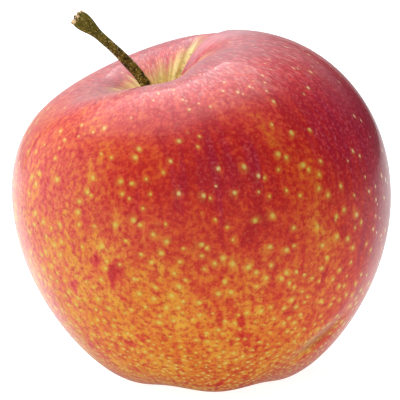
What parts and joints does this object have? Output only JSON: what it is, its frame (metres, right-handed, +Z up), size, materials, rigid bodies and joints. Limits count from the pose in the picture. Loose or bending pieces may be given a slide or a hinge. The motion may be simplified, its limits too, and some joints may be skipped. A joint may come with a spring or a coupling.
{
  "type": "apple",
  "caption": "Ripe red and yellow dessert apple with a bent woody stem in its top hollow and a dried calyx underneath, standing on its base lobes.",
  "frame": {"origin": "on the table, under the middle of the apple's box", "axes": "+Z up, -Y towards the viewer of the picture, stem leaning to -X, highest shoulder to +X"},
  "size_m": [0.0768, 0.0752, 0.0746],
  "materials": {
    "skin": "waxy semi-gloss fruit skin, red blush over yellow with pale dots",
    "stem_wood": "rough olive-brown bark, pale at the broken end",
    "dried_calyx": "dry, dull grey-brown"
  },
  "bodies": {
    "root": {"fruit": "skin", "stem": "stem_wood", "calyx": "dried_calyx"}
  },
  "joints": []
}
